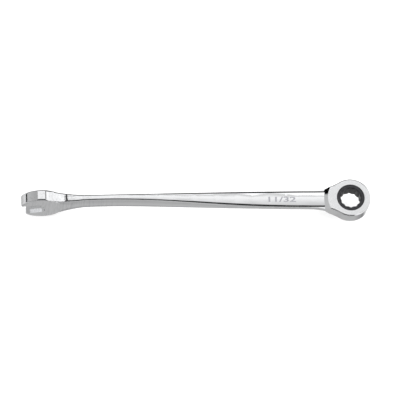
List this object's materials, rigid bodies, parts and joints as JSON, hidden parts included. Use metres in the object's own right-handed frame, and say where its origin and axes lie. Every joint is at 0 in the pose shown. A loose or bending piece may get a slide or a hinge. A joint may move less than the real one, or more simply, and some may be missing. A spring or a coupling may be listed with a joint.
{
  "type": "ratcheting combination wrench",
  "caption": "Combination wrench with an open end square to a ratcheting twelve-point box end, joined by a beam whose broad side changes from level to upright.",
  "frame": {"origin": "centre of the box end's twelve-point hole at half the head's thickness", "axes": "+Z along the box end's axis, -X along the beam towards the open end, whose head lies in the XZ plane"},
  "size_m": [0.1671, 0.019, 0.0206],
  "materials": {
    "chrome_plate": "polished chrome plate",
    "black_steel": "satin black oxide",
    "spring_steel": "bare ground steel"
  },
  "bodies": {
    "wrench": {"wrench_body": "chrome_plate", "pawl_spring": "spring_steel", "retaining_ring": "black_steel"},
    "gear": {"ratchet_gear": "black_steel"},
    "pawl": {"pawl": "spring_steel"}
  },
  "joints": [
    {"name": "ratchet_spin", "type": "hinge", "parent": "wrench", "child": "gear", "pos_m": [0, 0, 0], "axis": [0, 0, 1], "continuous": true},
    {"name": "pawl_slide", "type": "slide", "parent": "wrench", "child": "pawl", "axis": [-1, 0, 0], "range_m": [0, 0.0006], "stiffness_N_per_m": 300, "springref_m": -0.0005, "deforming": ["pawl_spring"]}
  ]
}
